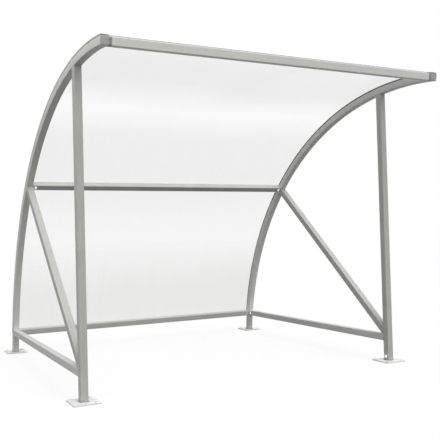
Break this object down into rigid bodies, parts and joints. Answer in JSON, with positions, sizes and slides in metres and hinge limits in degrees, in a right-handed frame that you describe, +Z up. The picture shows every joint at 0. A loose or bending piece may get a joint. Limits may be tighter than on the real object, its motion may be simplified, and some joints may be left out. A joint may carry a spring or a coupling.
{
  "type": "canopy shelter",
  "caption": "Open curved canopy shelter: rolled square-tube hoops on posts, tied by beam, purlin, rails and braces, with a curved clear sheet and bolt-down foot plates.",
  "frame": {"origin": "middle of the plan, on the floor", "axes": "+Z up, open front towards -Y, curved back towards +Y, width along X"},
  "size_m": [2.57, 2.6518, 2.1045],
  "materials": {
    "tube": "satin",
    "plate": "satin",
    "end_cap": "matt",
    "joint": "satin",
    "sheet": "gloss",
    "strip": "satin"
  },
  "bodies": {
    "root": {"left_hoop": "tube", "right_hoop": "tube", "front_beam": "tube", "mid_purlin": "tube", "back_bottom_rail": "tube", "left_side_rail": "tube", "right_side_rail": "tube", "left_brace": "tube", "right_brace": "tube", "left_front_post": "tube", "right_front_post": "tube", "front_left_base_plate": "plate", "front_right_base_plate": "plate", "rear_left_base_plate": "plate", "rear_right_base_plate": "plate", "left_hoop_end_cap": "end_cap", "right_hoop_end_cap": "end_cap", "left_beam_joint": "joint", "right_beam_joint": "joint", "canopy_sheet": "sheet", "left_capping_strip": "strip", "right_capping_strip": "strip"}
  },
  "joints": []
}
